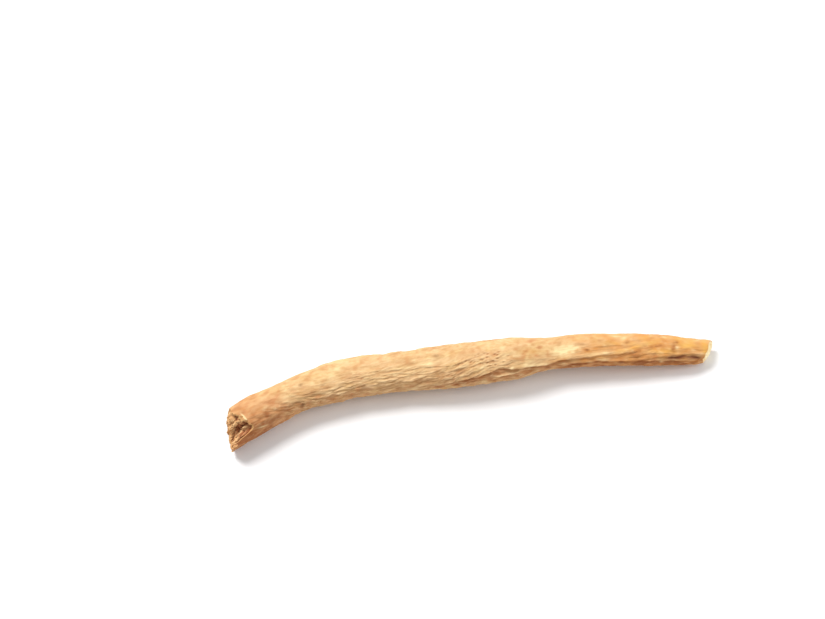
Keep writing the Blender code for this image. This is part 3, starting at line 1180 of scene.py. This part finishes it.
def broken_wood_material():
    nodes = Nodes("bared_root_wood")
    wood = nodes.place(0.3)
    fibres = nodes.noise(wood, 2400, 4)
    cloud = nodes.noise(wood, 700, 3)
    tone = nodes.ramp(fibres, ((0.34, WOOD_TAN), (0.60, WOOD_CREAM)))
    tone = nodes.mix(0.45, tone, nodes.ramp(cloud, ((0.4, WOOD_TAN), (0.6, WOOD_CREAM))))
    redness = nodes.ramp(nodes.value("bundle"), ((0.28, 0.8), (0.48, 0.0)))
    tone = nodes.mix(redness, tone, WOOD_RED)
    # Painted shade: the wood is darker where the break sinks deeper.
    depth = nodes.ramp(nodes.value("hollow"), ((0.50, 0.0), (1.0, 1.0)))
    tone = nodes.mix(depth, tone, nodes.ramp(cloud, ((0.42, WOOD_DARK), (0.55, WOOD_RED))))
    rind = nodes.ramp(nodes.value("share"), ((0.84, 0.0), (0.87, 0.7)))
    tone = nodes.mix(rind, tone, BUFF_DARK)
    return nodes.finish(tone, 0.85, 0.25, nodes.bump(fibres, 0.6, 0.0002))


def cut_wood_material():
    nodes = Nodes("cut_root_wood")
    wood = nodes.place(0.6)
    grainy = nodes.noise(wood, 1500, 4, 0.6)
    cloud = nodes.noise(wood, 420, 2)
    tone = nodes.ramp(grainy, ((0.32, CUT_TAN), (0.50, CUT_CREAM), (0.70, CUT_PALE)))
    tone = nodes.mix(nodes.ramp(cloud, ((0.50, 0.0), (0.68, 0.5))), tone, CUT_TAN)
    gap = nodes.ramp(nodes.value("share"), ((0.70, 0.0), (0.80, 0.35), (0.88, 0.0)))
    tone = nodes.mix(gap, tone, CUT_STAIN)
    rind = nodes.ramp(nodes.value("share"), ((0.90, 0.0), (0.98, 0.6)))
    tone = nodes.mix(rind, tone, ORANGE)
    return nodes.finish(tone, 0.8, 0.3, nodes.bump(grainy, 0.4, 0.0002))


# Floor, light and camera. Lengths are in metres, and the lens and the sensor's width in mm.
FLOOR_SIZE = 6.0
FLOOR_COLOUR = (0.93, 0.93, 0.935, 1)
ROOM_BRIGHTNESS = 0.52
CAMERA_AZIMUTH = -11.77
CAMERA_ELEVATION = 60
CAMERA_DISTANCE = 0.500
CAMERA_LENS = 85
CAMERA_SENSOR = 36
NEAREST_SEEN = 0.01
CAMERA_TARGET = Vector((-0.0091, 0.0234, 0.0))


def from_above(azimuth, elevation):
    """Direction from the root towards a place that looks down on it, from angles in degrees.
    Azimuth 0 looks along +Y."""
    azimuth, elevation = math.radians(azimuth), math.radians(elevation)
    level = math.cos(elevation)
    return Vector((math.sin(azimuth) * level, -math.cos(azimuth) * level, math.sin(elevation)))


def make_floor():
    mesh = bmesh.new()
    bmesh.ops.create_grid(mesh, x_segments=1, y_segments=1, size=FLOOR_SIZE / 2)
    data = bpy.data.meshes.new("pale_floor")
    mesh.to_mesh(data)
    mesh.free()
    data.materials.append(Nodes("pale_paper").finish(FLOOR_COLOUR, 0.9, 0.1))
    floor = bpy.data.objects.new("pale_floor", data)
    place_in_scene(floor)


def add_soft_light(name, azimuth, elevation, distance, size, power):
    data = bpy.data.lights.new(name, "AREA")
    data.shape = "DISK"
    data.size = size
    data.energy = power
    light = bpy.data.objects.new(name, data)
    direction = from_above(azimuth, elevation)
    light.location = direction * distance
    light.rotation_euler = direction.to_track_quat("Z", "Y").to_euler()
    place_in_scene(light)


def light_scene():
    world = bpy.data.worlds.new("white_room")
    world.use_nodes = True
    background = world.node_tree.nodes["Background"]
    background.inputs["Color"].default_value = (1.0, 1.0, 1.0, 1)
    background.inputs["Strength"].default_value = ROOM_BRIGHTNESS
    bpy.context.scene.world = world
    add_soft_light("window", azimuth=215, elevation=52, distance=0.9, size=0.45, power=7.9)
    add_soft_light("white_card", azimuth=80, elevation=30, distance=0.7, size=0.35, power=1.3)


def aim_camera():
    data = bpy.data.cameras.new("camera")
    data.lens = CAMERA_LENS
    data.sensor_width = CAMERA_SENSOR
    data.clip_start = NEAREST_SEEN
    camera = bpy.data.objects.new("camera", data)
    direction = from_above(CAMERA_AZIMUTH, CAMERA_ELEVATION)
    camera.location = CAMERA_TARGET + direction * CAMERA_DISTANCE
    camera.rotation_euler = direction.to_track_quat("Z", "Y").to_euler()
    place_in_scene(camera)
    bpy.context.scene.camera = camera


make_root()
make_floor()
light_scene()
aim_camera()
bpy.context.scene.view_settings.view_transform = "Standard"
